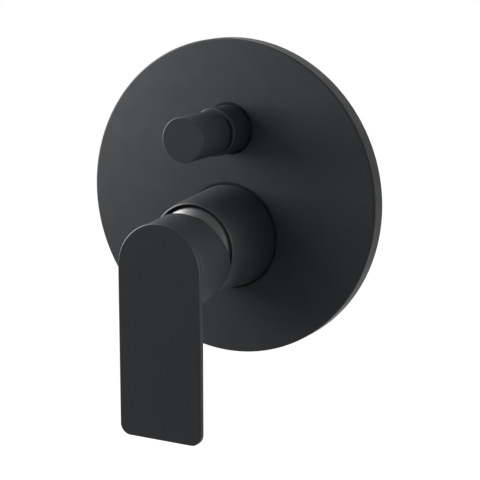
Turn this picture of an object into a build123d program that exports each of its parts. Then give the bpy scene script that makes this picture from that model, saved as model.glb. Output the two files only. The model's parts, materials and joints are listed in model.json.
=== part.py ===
from build123d import *
import os
from math import cos, radians, sin, sqrt, tan

# Concealed single-lever bath and shower mixer with a pull-out diverter.
# Millimetres: X to the right, Y into the wall, Z up. The origin is the centre of the cover plate's back,
# on the finished wall face. "Forward" is the distance in front of that face (forward = -Y), and "deep"
# is behind it.

os.makedirs("parts", exist_ok=True)

# Clearances
running = 0.05  # a shaft in its hole, on the radius
slip = 0.15  # a tube over a neck, on the radius
seat_gap = 0.3  # curved or soft faces that all but touch
ring_gap = 0.02  # a seal in its groove
groove_spare = 0.1  # a groove past its seal, on each side
cut_past = 1.0  # a cut past the face that it opens

# Cover plate
plate_radius = 80.0
plate_depth = 9.0
plate_wall = 2.0
plate_edge = 0.6
gasket_width = 6.0
grommet_wall = 0.9
grommet_flange = 2.4
grommet_lip = 0.3
grommet_flange_thickness = 1.3

# Valve axes
mixer_drop = 19.3
axis_spacing = 54.5
mixer_z = -mixer_drop
diverter_z = mixer_z + axis_spacing

# Sleeve round the cartridge
sleeve_rear = 3.0
sleeve_front = 46.5
sleeve_base_radius = 26.0
sleeve_front_radius = 23.7
sleeve_land = 1.0
sleeve_nose = 5.5
sleeve_nose_drop = 0.9
sleeve_bevel = 0.5
neck_radius = 21.6
neck_front = 33.0
sleeve_bore = neck_radius + slip
sleeve_ring_forward = 8.0
ring_wire = 0.78
ring_sides = 6

# Cartridge
cartridge_radius = 17.4
cartridge_fit = 0.2
base_flange = 1.5
base_height = 6.0
disc_thickness = 3.5
shell_wall = 2.35
carrier_height = 4.0
shoulder_forward = 26.0
tower_radius = 13.5
tower_front = 34.0
rotor_proud = 0.2
rotor_neck_radius = 12.4
rotor_rear_thickness = 7.0
port_side = 7.0
port_drop = 4.5
port_rise = 6.5
port_radius = 2.8
port_closing = 0.8
seal_wall = 1.5
seal_height = 1.2
nut_thread_radius = 19.8
nut_head = 2.5
nut_flats = 30.0
dome_thickness = 1.3
dome_sphere = 27.8
dome_hole_radius = 17.0

# Stem and lever
pivot_forward = 27.0
droop = radians(5.0)
lift = radians(22.0)
raised_gap = 0.8
stem_size = 8.0
stem_tail = 3.0
stem_reach = 35.0
stem_chamfer = 0.8
shank_radius = 2.2
ball_radius = 2.6
ball_arm = 10.6
ball_play = 0.2
pin_radius = 1.25
pin_setback = 0.5
barrel_radius = 22.2
barrel_wall = 3.0
barrel_rear_deepening = 0.5
barrel_deepening = 4.0
lever_gap = 0.5
paddle_half_width = 22.4
paddle_front = 78.5
paddle_thickness = 3.5
paddle_drop = 88.0
paddle_corner = 5.5
paddle_round = 0.7
lever_skin = 3.0
hub_radius = 8.5
hub_rear = 20.0
screw_station = 30.0
screw_radius = 2.45
screw_length = 9.0
screw_boss_radius = 4.6
screw_boss_root = 1.0
plug_radius = 3.2
plug_depth = 1.6
plug_stub = 2.0
socket_spare = 1.0

# Diverter knob and collar
collar_radius = 12.0
collar_front = 25.5
collar_face = 2.0
knob_radius = 11.0
knob_rear = 27.2
knob_front = 55.2
knob_rear_round = 1.6
knob_front_round = 0.5
knob_neck_radius = 8.5
knob_neck_rear = 17.8
knob_bore_depth = 20.0
knob_bore_spare = 1.0

# Diverter mechanism, depths behind the wall face
pull = 7.0
spindle_radius = 3.0
spindle_rear_radius = 2.5
spindle_ring_setbacks = [2.5, 6.0]
spindle_tail = 4.0
spindle_mid_radius = 3.4
valve_radius = 8.6
valve_flange = 2.0
washer_thickness = 2.0
front_seat_deep = 16.0
rear_seat_deep = 28.0
seat_thickness = 2.0
seat_hole_radius = 6.5
cage_radius = 10.95
cage_wall = 1.65
chamber_deep = 45.0
bonnet_deep = 2.5
bonnet_hex_flats = 27.0
bonnet_hex_height = 3.5
bonnet_tube_radius = 10.3
bonnet_tube_front = 14.0
bonnet_nose_radius = 8.0
bonnet_nose_front = 17.0
bonnet_thread_radius = 12.95
spring_chamber_radius = 6.0
spring_shoulder = 5.0
spring_radius = 4.6
spring_wire = 0.45
spring_turns = 6
spring_steps = 12
spindle_ring_wire = 0.7
spindle_nut_flats = 7.0
spindle_nut_height = 2.0
nut_flange_setback = 1.0
nut_flange_height = 1.0

# Valve body casting
body_rear = 50.0
body_front = 2.5
mixer_barrel_radius = 24.0
mixer_barrel_deep = 32.0
divert_front = 3.0
divert_barrel_radius = 16.0
port_plane = 36.0
arm_radius = 13.5
arm_hex_flats = 28.0
arm_hex_length = 13.0
inlet_reach = 50.0
shower_reach = 62.0
bath_reach = 72.0
thread_radius = 9.3
thread_length = 13.0
inlet_channel_radius = 5.5
inlet_channel_end = 6.5
bath_slot_width = 5.0
bath_slot_depth = 12.0
mixed_channel_radius = 4.3
mixed_plane = 23.0
shower_channel_radius = 4.0
shower_plane = 10.0
drill_point = 1.0
casting_wall = 3.0
web_width = 22.0
lug_spacing = 76.0
lug_width = 13.0
lug_thickness = 4.0
lug_rise = 8.0
lug_hole_radius = 2.75

# Derived places
shell_inner = cartridge_radius - shell_wall
chamber_radius = cartridge_radius + cartridge_fit
fixed_disc_front = base_height + disc_thickness
moving_disc_front = fixed_disc_front + disc_thickness
carrier_front = moving_disc_front + carrier_height
rotor_rear = carrier_front + running
rotor_step = rotor_rear + rotor_rear_thickness
disc_rise = ball_arm * sin(droop)
disc_fall = ball_arm * sin(lift - droop)
disc_travel = disc_rise + disc_fall
disc_radius = shell_inner - disc_fall - running
paddle_back = paddle_front - paddle_thickness
paddle_z = mixer_z - (paddle_back - pivot_forward) * tan(droop)
lever_rear = sleeve_front + lever_gap
bore_radius = cage_radius + running


def facing(forward, height=0.0, across=0.0):
    """A plane that faces the room, so far in front of the wall. Its x is +X and its y is +Z."""
    return Plane(origin=(across, -forward, height), x_dir=(1, 0, 0), z_dir=(0, -1, 0))


def beside(height):
    """The upright plane through a valve's axis. Its x runs forward from the wall, its y up from the axis."""
    return Plane(origin=(0, 0, height), x_dir=(0, -1, 0), z_dir=(-1, 0, 0))


def along_stem(distance):
    """A plane square to the drooping stem, so far in front of the stem pin. Its x is +X and its y is up."""
    return Plane(
        origin=(0, -pivot_forward - distance * cos(droop), mixer_z - distance * sin(droop)),
        x_dir=(1, 0, 0),
        z_dir=(0, -cos(droop), -sin(droop)),
    )


def under_stem(distance, depth):
    """A plane below the stem at that distance along it, facing down and so far from the stem's axis."""
    start = along_stem(distance).origin
    down = Vector(0, sin(droop), -cos(droop))
    return Plane(origin=start + down * depth, x_dir=(1, 0, 0), z_dir=down)


plate_axis = Axis((0, 0, 0), (0, -1, 0))
mixer_axis = Axis((0, 0, mixer_z), (0, -1, 0))
diverter_axis = Axis((0, 0, diverter_z), (0, -1, 0))

# Cover plate: a dished disc with a deep rim, a small bevel round its face and a hole for each valve
sleeve_hole_radius = sleeve_base_radius + slip + grommet_wall
collar_hole_radius = collar_radius + slip + grommet_wall
plate_inside = plate_depth - plate_wall
with BuildPart() as cover_plate:
    with BuildSketch(beside(0)):
        Polygon(
            (0, plate_radius - plate_wall),
            (0, plate_radius),
            (plate_depth - plate_edge, plate_radius),
            (plate_depth, plate_radius - plate_edge),
            (plate_depth, 0),
            (plate_inside, 0),
            (plate_inside, plate_radius - plate_wall),
            align=None,
        )
    revolve(axis=plate_axis)
    with BuildSketch(facing(0)):
        with Locations((0, mixer_z)):
            Circle(sleeve_hole_radius)
        with Locations((0, diverter_z)):
            Circle(collar_hole_radius)
    extrude(amount=plate_depth, mode=Mode.SUBTRACT)
cover_plate.part.label = "cover_plate"
export_step(cover_plate.part, "parts/cover_plate.step")

# Foam gasket inside the rim, from the plate's inner face to the wall
gasket_radius = plate_radius - plate_wall - seat_gap
with BuildPart() as plate_gasket:
    with BuildSketch(facing(0)):
        Circle(gasket_radius)
        Circle(gasket_radius - gasket_width, mode=Mode.SUBTRACT)
    extrude(amount=plate_inside)
plate_gasket.part.label = "plate_gasket"
export_step(plate_gasket.part, "parts/plate_gasket.step")

# Rubber grommets: a flange behind the plate and a lip through its hole
with BuildPart() as sleeve_grommet:
    with BuildSketch(beside(mixer_z)):
        Polygon(
            (plate_inside - grommet_flange_thickness, sleeve_base_radius + slip),
            (plate_inside - grommet_flange_thickness, sleeve_hole_radius + grommet_flange),
            (plate_inside, sleeve_hole_radius + grommet_flange),
            (plate_inside, sleeve_hole_radius - ring_gap),
            (plate_depth + grommet_lip, sleeve_hole_radius - ring_gap),
            (plate_depth + grommet_lip, sleeve_base_radius + slip),
            align=None,
        )
    revolve(axis=mixer_axis)
sleeve_grommet.part.label = "sleeve_grommet"
export_step(sleeve_grommet.part, "parts/sleeve_grommet.step")

with BuildPart() as collar_grommet:
    with BuildSketch(beside(diverter_z)):
        Polygon(
            (plate_inside, collar_radius + slip),
            (plate_inside, collar_hole_radius - ring_gap),
            (plate_depth + grommet_lip, collar_hole_radius - ring_gap),
            (plate_depth + grommet_lip, collar_radius + slip),
            align=None,
        )
    revolve(axis=diverter_axis)
collar_grommet.part.label = "collar_grommet"
export_step(collar_grommet.part, "parts/collar_grommet.step")

# Sleeve: straight through the plate, then a slight taper to a bevelled front edge
with BuildPart() as mixer_sleeve:
    with BuildSketch(beside(mixer_z)):
        Polygon(
            (sleeve_rear, sleeve_bore),
            (sleeve_rear, sleeve_base_radius),
            (plate_depth + sleeve_land, sleeve_base_radius),
            (sleeve_front - sleeve_nose, sleeve_front_radius),
            (sleeve_front - sleeve_bevel, sleeve_front_radius - sleeve_nose_drop),
            (sleeve_front, sleeve_front_radius - sleeve_nose_drop - sleeve_bevel),
            (sleeve_front, sleeve_bore),
            align=None,
        )
    revolve(axis=mixer_axis)
mixer_sleeve.part.label = "mixer_sleeve"
export_step(mixer_sleeve.part, "parts/mixer_sleeve.step")

# O-ring in the neck's groove, which grips the sleeve
sleeve_ring_radius = sleeve_bore - ring_wire - ring_gap
with BuildPart() as sleeve_o_ring:
    with BuildSketch(beside(mixer_z)):
        with Locations((sleeve_ring_forward, sleeve_ring_radius)):
            RegularPolygon(ring_wire, ring_sides)
    revolve(axis=mixer_axis)
sleeve_o_ring.part.label = "sleeve_o_ring"
export_step(sleeve_o_ring.part, "parts/sleeve_o_ring.step")

# Domed ring on the neck, which closes the sleeve round the stem
dome_radius = sleeve_bore - slip
dome_middle = (dome_radius + dome_hole_radius) / 2


def on_dome(sphere, radius):
    """The place on a sphere about the stem pin at a distance from the mixer's axis: (forward, radius)."""
    return (pivot_forward + sqrt(sphere**2 - radius**2), radius)


with BuildPart() as dome_ring:
    with BuildSketch(beside(mixer_z)):
        Polygon(
            (neck_front, dome_radius - dome_thickness),
            (neck_front, dome_radius),
            on_dome(dome_sphere, dome_radius),
            on_dome(dome_sphere, dome_middle),
            on_dome(dome_sphere, dome_hole_radius),
            on_dome(dome_sphere - dome_thickness, dome_hole_radius),
            on_dome(dome_sphere - dome_thickness, dome_middle),
            on_dome(dome_sphere - dome_thickness, dome_radius - dome_thickness),
            align=None,
        )
    revolve(axis=mixer_axis)
dome_ring.part.label = "dome_ring"
export_step(dome_ring.part, "parts/dome_ring.step")

# Cartridge nut: a threaded ring with a hexagon, pressed on the cartridge's shoulder
nut_bore = tower_radius + seat_gap
with BuildPart() as cartridge_nut:
    with BuildSketch(facing(shoulder_forward, mixer_z)):
        Circle(nut_thread_radius)
    extrude(amount=neck_front - shoulder_forward)
    with BuildSketch(facing(neck_front, mixer_z)):
        RegularPolygon(nut_flats / 2, 6, major_radius=False)
    extrude(amount=nut_head)
    with BuildSketch(facing(shoulder_forward, mixer_z)):
        Circle(nut_bore)
    extrude(amount=neck_front - shoulder_forward + nut_head, mode=Mode.SUBTRACT)
cartridge_nut.part.label = "cartridge_nut"
export_step(cartridge_nut.part, "parts/cartridge_nut.step")

# Cartridge housing: a cup over the base, discs and rotor, with a tower for the rotor's neck
with BuildPart() as cartridge_housing:
    with BuildSketch(beside(mixer_z)):
        Polygon(
            (base_flange, shell_inner),
            (base_flange, cartridge_radius),
            (shoulder_forward, cartridge_radius),
            (shoulder_forward, tower_radius),
            (tower_front, tower_radius),
            (tower_front, rotor_neck_radius + running),
            (rotor_step + running, rotor_neck_radius + running),
            (rotor_step + running, shell_inner),
            align=None,
        )
    revolve(axis=mixer_axis)
cartridge_housing.part.label = "cartridge_housing"
export_step(cartridge_housing.part, "parts/cartridge_housing.step")

# Cartridge base with two inlet ports, one mixed port and a groove round each for its seal
port_places = [(-port_side, -port_drop), (port_side, -port_drop), (0, port_rise)]
seal_radius = port_radius + seal_wall
with BuildPart() as cartridge_base:
    with BuildSketch(facing(0, mixer_z)):
        Circle(cartridge_radius)
    extrude(amount=base_flange)
    with BuildSketch(facing(0, mixer_z)):
        Circle(shell_inner - running)
    extrude(amount=base_height)
    with BuildSketch(facing(0, mixer_z)):
        with Locations(*port_places):
            Circle(port_radius)
    extrude(amount=base_height, mode=Mode.SUBTRACT)
    with BuildSketch(facing(0, mixer_z)):
        with Locations(*port_places):
            Circle(seal_radius + ring_gap)
    extrude(amount=seal_height, mode=Mode.SUBTRACT)
cartridge_base.part.label = "cartridge_base"
export_step(cartridge_base.part, "parts/cartridge_base.step")

with BuildPart() as base_seals:
    with BuildSketch(facing(0, mixer_z)):
        with Locations(*port_places):
            Circle(seal_radius)
            Circle(port_radius, mode=Mode.SUBTRACT)
    extrude(amount=seal_height)
base_seals.part.label = "base_seals"
export_step(base_seals.part, "parts/base_seals.step")

# Ceramic discs: the fixed one has three ports. The moving one has a pocket that joins them when it slides
# down.
with BuildPart() as fixed_disc:
    with BuildSketch(facing(base_height, mixer_z)):
        Circle(shell_inner - running)
        with Locations(*port_places):
            Circle(port_radius, mode=Mode.SUBTRACT)
    extrude(amount=disc_thickness)
fixed_disc.part.label = "fixed_disc"
export_step(fixed_disc.part, "parts/fixed_disc.step")

pocket_bottom = port_radius - port_drop + port_closing - disc_rise
pocket_top = port_rise + port_radius - disc_rise
pocket_middle = (pocket_bottom + pocket_top) / 2
pocket_half = port_side + port_radius / 2
with BuildPart() as moving_disc:
    with BuildSketch(facing(fixed_disc_front, mixer_z + disc_rise)):
        Circle(disc_radius)
    extrude(amount=disc_thickness)
    with BuildSketch(facing(fixed_disc_front, mixer_z + disc_rise)):
        Polygon(
            (-pocket_half, pocket_bottom),
            (pocket_half, pocket_bottom),
            (pocket_half, pocket_middle),
            (port_side - port_radius / 2, pocket_top),
            (port_radius / 2 - port_side, pocket_top),
            (-pocket_half, pocket_middle),
            align=None,
        )
    extrude(amount=disc_thickness / 2, mode=Mode.SUBTRACT)
moving_disc.part.label = "moving_disc"
export_step(moving_disc.part, "parts/moving_disc.step")

# Disc carrier: a plate on the moving disc, with a rail for the rotor's groove and a socket for the ball
rail_width = 9.0
rail_height = 1.4
rail_half_length = 7.5
socket_size = 2 * (ball_radius + ball_play)
with BuildPart() as disc_carrier:
    with BuildSketch(facing(moving_disc_front, mixer_z + disc_rise)):
        Circle(disc_radius)
    extrude(amount=carrier_front - moving_disc_front)
    with BuildSketch(facing(carrier_front, mixer_z + disc_rise)):
        Rectangle(rail_width, 2 * rail_half_length)
    extrude(amount=rail_height)
    with BuildSketch(facing(pivot_forward - ball_arm - ball_radius - ball_play, mixer_z + disc_rise)):
        Rectangle(socket_size, socket_size)
    extrude(amount=ball_arm, mode=Mode.SUBTRACT)
disc_carrier.part.label = "disc_carrier"
export_step(disc_carrier.part, "parts/disc_carrier.step")

# Rotor: turns in the housing, guides the carrier's rail and leaves a slot for the stem's tilt
rotor_front = tower_front + rotor_proud
slot_floor = pivot_forward - stem_tail - stem_size / 2 * sin(lift - droop) - seat_gap
slot_half = stem_size / 2 / cos(lift - droop) + (rotor_front - pivot_forward) * tan(lift - droop) + ball_play
with BuildPart() as cartridge_rotor:
    with BuildSketch(facing(rotor_rear, mixer_z)):
        Circle(shell_inner - running)
    extrude(amount=rotor_rear_thickness)
    with BuildSketch(facing(rotor_step, mixer_z)):
        Circle(rotor_neck_radius)
    extrude(amount=rotor_front - rotor_step)
    with BuildSketch(facing(rotor_rear, mixer_z)):
        Rectangle(rail_width + 2 * running, 2 * (rail_half_length + disc_fall + ball_play))
    extrude(amount=rail_height + running, mode=Mode.SUBTRACT)
    with BuildSketch(facing(rotor_rear, mixer_z)):
        Rectangle(socket_size, 2 * (ball_radius + disc_fall + ball_play))
    extrude(amount=slot_floor - rotor_rear, mode=Mode.SUBTRACT)
    with BuildSketch(facing(slot_floor, mixer_z)):
        Rectangle(stem_size + 2 * ball_play, 2 * slot_half)
    extrude(amount=rotor_front - slot_floor, mode=Mode.SUBTRACT)
    with BuildSketch(Plane.YZ.offset(-rotor_neck_radius)):
        with Locations((-pivot_forward, mixer_z)):
            Circle(pin_radius + ring_gap)
    extrude(amount=2 * rotor_neck_radius, mode=Mode.SUBTRACT)
cartridge_rotor.part.label = "cartridge_rotor"
export_step(cartridge_rotor.part, "parts/cartridge_rotor.step")

pin_half = rotor_neck_radius - pin_setback
with BuildPart() as stem_pin:
    with BuildSketch(Plane.YZ.offset(-pin_half)):
        with Locations((-pivot_forward, mixer_z)):
            Circle(pin_radius)
    extrude(amount=2 * pin_half)
stem_pin.part.label = "stem_pin"
export_step(stem_pin.part, "parts/stem_pin.step")

# Stem: a square bar with a hole for its pin, and a thin shank to a ball that moves the disc carrier
with BuildPart() as cartridge_stem:
    with BuildSketch(along_stem(-stem_tail)):
        Rectangle(stem_size, stem_size)
    extrude(amount=stem_tail + stem_reach)
    chamfer(cartridge_stem.faces().sort_by(Axis.Y)[0].edges(), stem_chamfer)
    with BuildSketch(along_stem(-stem_tail)):
        Circle(shank_radius)
    extrude(amount=-(ball_arm - stem_tail))
    with Locations(along_stem(-ball_arm).origin):
        Sphere(ball_radius)
    with BuildSketch(Plane.YZ.offset(-stem_size)):
        with Locations((-pivot_forward, mixer_z)):
            Circle(pin_radius + running)
    extrude(amount=2 * stem_size, mode=Mode.SUBTRACT)
cartridge_stem.part.label = "cartridge_stem"
export_step(cartridge_stem.part, "parts/cartridge_stem.step")

# Lever: one casting. The barrel droops with the stem, and its underside falls further on its way to the
# paddle. Its upper rear edge is cut back by the angle of the lift, so that when the lever is raised this
# edge lies along the sleeve's front, raised_gap away.
cavity_front = paddle_front - lever_skin - paddle_thickness
hub_front = cavity_front - pivot_forward
back_cut_start = pivot_forward + (sleeve_front + raised_gap - pivot_forward) / cos(lift)


def drawn_out(forward):
    """How far the barrel's underside lies below a plain cylinder's, at a distance in front of the wall."""
    share = (forward - lever_rear) / (paddle_back - lever_rear)
    return barrel_rear_deepening + share * (barrel_deepening - barrel_rear_deepening)


def barrel_middle(forward):
    """The height of the middle of the barrel's section, at a distance in front of the wall."""
    return mixer_z - (forward - pivot_forward) * tan(droop) - drawn_out(forward) / 2


screw_foot = pivot_forward + screw_station * cos(droop) - barrel_radius * sin(droop)
underside = (barrel_radius + drawn_out(screw_foot)) * cos(droop)
with BuildPart() as lever:
    for forward in (lever_rear, paddle_back):
        with BuildSketch(facing(forward)):
            with Locations((0, barrel_middle(forward))):
                SlotCenterToCenter(drawn_out(forward), 2 * barrel_radius, rotation=90)
    loft(ruled=True)
    for forward in (lever_rear, cavity_front):
        with BuildSketch(facing(forward)):
            with Locations((0, barrel_middle(forward))):
                SlotCenterToCenter(drawn_out(forward), 2 * (barrel_radius - barrel_wall), rotation=90)
    loft(ruled=True, mode=Mode.SUBTRACT)
    split(
        bisect_by=Plane(
            origin=(0, -back_cut_start, mixer_z),
            x_dir=(1, 0, 0),
            z_dir=(0, -cos(lift), -sin(lift)),
        ),
        keep=Keep.TOP,
    )
    with BuildSketch(facing(paddle_back)) as paddle_outline:
        with Locations((0, paddle_z)):
            Circle(paddle_half_width)
        paddle_end = mixer_z - paddle_drop
        with Locations((0, (paddle_z + paddle_end) / 2)):
            Rectangle(2 * paddle_half_width, paddle_z - paddle_end)
        fillet(paddle_outline.vertices().group_by(Axis.Y)[0], paddle_corner)
    extrude(amount=paddle_thickness)
    fillet(lever.faces().sort_by(Axis.Y)[0].edges(), paddle_round)
    with BuildSketch(along_stem(hub_rear)):
        Circle(hub_radius)
    extrude(amount=hub_front - hub_rear + lever_skin / 2)
    with BuildSketch(under_stem(screw_station, hub_radius - screw_boss_root)):
        Circle(screw_boss_radius)
    extrude(amount=underside - barrel_wall / 2 - hub_radius + screw_boss_root)
    with BuildSketch(along_stem(hub_rear)):
        Rectangle(stem_size + 2 * slip, stem_size + 2 * slip)
    extrude(amount=stem_reach - hub_rear + socket_spare, mode=Mode.SUBTRACT)
    with BuildSketch(under_stem(screw_station, 0)):
        Circle(screw_radius + running)
    extrude(amount=underside + cut_past, mode=Mode.SUBTRACT)
    with BuildSketch(under_stem(screw_station, underside - plug_depth)):
        Circle(plug_radius + running)
    extrude(amount=plug_depth + cut_past, mode=Mode.SUBTRACT)
lever.part.label = "lever"
export_step(lever.part, "parts/lever.step")

# Grub screw under the barrel, with a hexagon socket, and the cap over its hole
screw_start = stem_size / 2 + running
with BuildPart() as lever_grub_screw:
    with BuildSketch(under_stem(screw_station, screw_start)):
        Circle(screw_radius)
    extrude(amount=screw_length)
    with BuildSketch(under_stem(screw_station, screw_start + screw_length / 2)):
        RegularPolygon(screw_radius / 2, 6, major_radius=False)
    extrude(amount=screw_length, mode=Mode.SUBTRACT)
lever_grub_screw.part.label = "lever_grub_screw"
export_step(lever_grub_screw.part, "parts/lever_grub_screw.step")

with BuildPart() as lever_plug:
    with BuildSketch(under_stem(screw_station, underside - plug_depth)):
        Circle(plug_radius)
    extrude(amount=plug_depth - seat_gap)
    with BuildSketch(under_stem(screw_station, underside - plug_depth)):
        Circle(screw_radius)
    extrude(amount=-plug_stub)
lever_plug.part.label = "lever_plug"
export_step(lever_plug.part, "parts/lever_plug.step")

# Diverter collar: a tube with a front ring, over the bonnet
collar_rear = divert_front + bonnet_hex_height
collar_bore = bonnet_tube_radius + slip
with BuildPart() as diverter_collar:
    with BuildSketch(beside(diverter_z)):
        Polygon(
            (collar_rear, collar_bore),
            (collar_rear, collar_radius),
            (collar_front - plate_edge, collar_radius),
            (collar_front, collar_radius - plate_edge),
            (collar_front, knob_neck_radius + seat_gap),
            (collar_front - collar_face, knob_neck_radius + seat_gap),
            (collar_front - collar_face, collar_bore),
            align=None,
        )
    revolve(axis=diverter_axis)
diverter_collar.part.label = "diverter_collar"
export_step(diverter_collar.part, "parts/diverter_collar.step")

# Knob: a round head and a neck that stays in the collar when it is pulled out
with BuildPart() as diverter_knob:
    with BuildSketch(beside(diverter_z)):
        Polygon(
            (knob_neck_rear, spindle_rear_radius),
            (knob_neck_rear, knob_neck_radius),
            (knob_rear, knob_neck_radius),
            (knob_rear, knob_radius - knob_rear_round),
            (knob_rear + knob_rear_round / 3, knob_radius - knob_rear_round / 3),
            (knob_rear + knob_rear_round, knob_radius),
            (knob_front - knob_front_round, knob_radius),
            (knob_front, knob_radius - knob_front_round),
            (knob_front, 0),
            (knob_neck_rear + knob_bore_depth, 0),
            (knob_neck_rear + knob_bore_depth, spindle_rear_radius),
            align=None,
        )
    revolve(axis=diverter_axis)
diverter_knob.part.label = "diverter_knob"
export_step(diverter_knob.part, "parts/diverter_knob.step")

# Bonnet: threaded into the body, a hexagon, a tube for the collar, and the spindle's guide with seal grooves
spindle_ring_places = [bonnet_nose_front - setback for setback in spindle_ring_setbacks]
groove_half = spindle_ring_wire + groove_spare
spindle_ring_radius = spindle_radius + slip + spindle_ring_wire
collar_ring_forward = (collar_rear + bonnet_tube_front) / 2
collar_ring_radius = collar_bore - ring_wire - ring_gap
with BuildPart() as diverter_bonnet:
    with BuildSketch(beside(diverter_z)):
        Polygon(
            (-bonnet_deep, spring_chamber_radius),
            (-bonnet_deep, bonnet_thread_radius),
            (divert_front, bonnet_thread_radius),
            (divert_front, bonnet_tube_radius),
            (bonnet_tube_front, bonnet_tube_radius),
            (bonnet_tube_front, bonnet_nose_radius),
            (bonnet_nose_front, bonnet_nose_radius),
            (bonnet_nose_front, spindle_radius + running),
            (spring_shoulder, spindle_radius + running),
            (spring_shoulder, spring_chamber_radius),
            align=None,
        )
    revolve(axis=diverter_axis)
    with BuildSketch(facing(divert_front, diverter_z)):
        RegularPolygon(bonnet_hex_flats / 2, 6, major_radius=False)
        Circle(bonnet_tube_radius, mode=Mode.SUBTRACT)
    extrude(amount=bonnet_hex_height)
    with BuildSketch(beside(diverter_z)):
        with Locations(*[(place, spindle_ring_radius) for place in spindle_ring_places]):
            Rectangle(2 * groove_half, 2 * groove_half)
        with Locations((collar_ring_forward, collar_ring_radius)):
            Rectangle(2 * (ring_wire + groove_spare), 2 * ring_wire + groove_spare)
    revolve(axis=diverter_axis, mode=Mode.SUBTRACT)
diverter_bonnet.part.label = "diverter_bonnet"
export_step(diverter_bonnet.part, "parts/diverter_bonnet.step")

with BuildPart() as spindle_o_rings:
    with BuildSketch(beside(diverter_z)):
        with Locations(*[(place, spindle_ring_radius) for place in spindle_ring_places]):
            RegularPolygon(spindle_ring_wire, ring_sides)
    revolve(axis=diverter_axis)
spindle_o_rings.part.label = "spindle_o_rings"
export_step(spindle_o_rings.part, "parts/spindle_o_rings.step")

with BuildPart() as collar_o_ring:
    with BuildSketch(beside(diverter_z)):
        with Locations((collar_ring_forward, collar_ring_radius)):
            RegularPolygon(ring_wire, ring_sides)
    revolve(axis=diverter_axis)
collar_o_ring.part.label = "collar_o_ring"
export_step(collar_o_ring.part, "parts/collar_o_ring.step")

# Diverter cage: a tube with two valve seats, a window for each chamber and a seal groove outside each seat
cage_inner = cage_radius - cage_wall
front_seat_rear = front_seat_deep + seat_thickness
rear_seat_rear = rear_seat_deep + seat_thickness
cage_ring_radius = bore_radius - ring_wire - ring_gap
cage_ring_places = [-front_seat_deep - seat_thickness / 2, -rear_seat_deep - seat_thickness / 2]
window_margin = 1.0
with BuildPart() as diverter_cage:
    with BuildSketch(facing(-chamber_deep + running, diverter_z)):
        Circle(cage_radius)
        Circle(cage_inner, mode=Mode.SUBTRACT)
    extrude(amount=chamber_deep - running - bonnet_deep)
    for seat_deep in (front_seat_rear, rear_seat_rear):
        with BuildSketch(facing(-seat_deep, diverter_z)):
            Circle(cage_inner + cage_wall / 2)
            Circle(seat_hole_radius, mode=Mode.SUBTRACT)
        extrude(amount=seat_thickness)
    with BuildSketch(Plane.XY.offset(diverter_z)):
        with Locations((0, (bonnet_deep + front_seat_deep) / 2)):
            Rectangle(2 * shower_channel_radius, front_seat_deep - bonnet_deep - 2 * window_margin)
    extrude(amount=cage_radius, mode=Mode.SUBTRACT)
    with BuildSketch(Plane.XY.offset(diverter_z)):
        with Locations((0, (front_seat_rear + rear_seat_deep) / 2)):
            Rectangle(2 * mixed_channel_radius, rear_seat_deep - front_seat_rear - 2 * window_margin)
        with Locations((0, rear_seat_rear + bath_slot_depth / 2)):
            Rectangle(bath_slot_width, bath_slot_depth - window_margin)
    extrude(amount=-cage_radius, mode=Mode.SUBTRACT)
    with BuildSketch(beside(diverter_z)):
        with Locations(*[(place, cage_ring_radius) for place in cage_ring_places]):
            Rectangle(2 * (ring_wire + groove_spare), 2 * ring_wire + groove_spare)
    revolve(axis=diverter_axis, mode=Mode.SUBTRACT)
diverter_cage.part.label = "diverter_cage"
export_step(diverter_cage.part, "parts/diverter_cage.step")

with BuildPart() as cage_o_rings:
    with BuildSketch(beside(diverter_z)):
        with Locations(*[(place, cage_ring_radius) for place in cage_ring_places]):
            RegularPolygon(ring_wire, ring_sides)
    revolve(axis=diverter_axis)
cage_o_rings.part.label = "cage_o_rings"
export_step(cage_o_rings.part, "parts/cage_o_rings.step")

# Spindle: a stepped rod with the front valve flange, a shoulder for the rear washer and a thread for the knob
flange_rear = front_seat_deep - washer_thickness
rear_washer_front = rear_seat_rear + pull
nut_deep = rear_washer_front + washer_thickness
spindle_end = nut_deep + spindle_tail
with BuildPart() as diverter_spindle:
    with BuildSketch(beside(diverter_z)):
        Polygon(
            (-spindle_end, 0),
            (-spindle_end, spindle_rear_radius),
            (-rear_washer_front, spindle_rear_radius),
            (-rear_washer_front, spindle_mid_radius),
            (-flange_rear, spindle_mid_radius),
            (-flange_rear, valve_radius),
            (valve_flange - flange_rear, valve_radius),
            (valve_flange - flange_rear, spindle_radius),
            (knob_neck_rear, spindle_radius),
            (knob_neck_rear, spindle_rear_radius - ring_gap),
            (knob_neck_rear + knob_bore_depth - knob_bore_spare, spindle_rear_radius - ring_gap),
            (knob_neck_rear + knob_bore_depth - knob_bore_spare, 0),
            align=None,
        )
    revolve(axis=diverter_axis)
diverter_spindle.part.label = "diverter_spindle"
export_step(diverter_spindle.part, "parts/diverter_spindle.step")

with BuildPart() as front_valve_washer:
    with BuildSketch(facing(-front_seat_deep, diverter_z)):
        Circle(valve_radius)
        Circle(spindle_mid_radius + ring_gap, mode=Mode.SUBTRACT)
    extrude(amount=washer_thickness)
front_valve_washer.part.label = "front_valve_washer"
export_step(front_valve_washer.part, "parts/front_valve_washer.step")

with BuildPart() as rear_valve_washer:
    with BuildSketch(facing(-nut_deep, diverter_z)):
        Circle(valve_radius)
        Circle(spindle_rear_radius + ring_gap, mode=Mode.SUBTRACT)
    extrude(amount=washer_thickness)
rear_valve_washer.part.label = "rear_valve_washer"
export_step(rear_valve_washer.part, "parts/rear_valve_washer.step")

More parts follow.
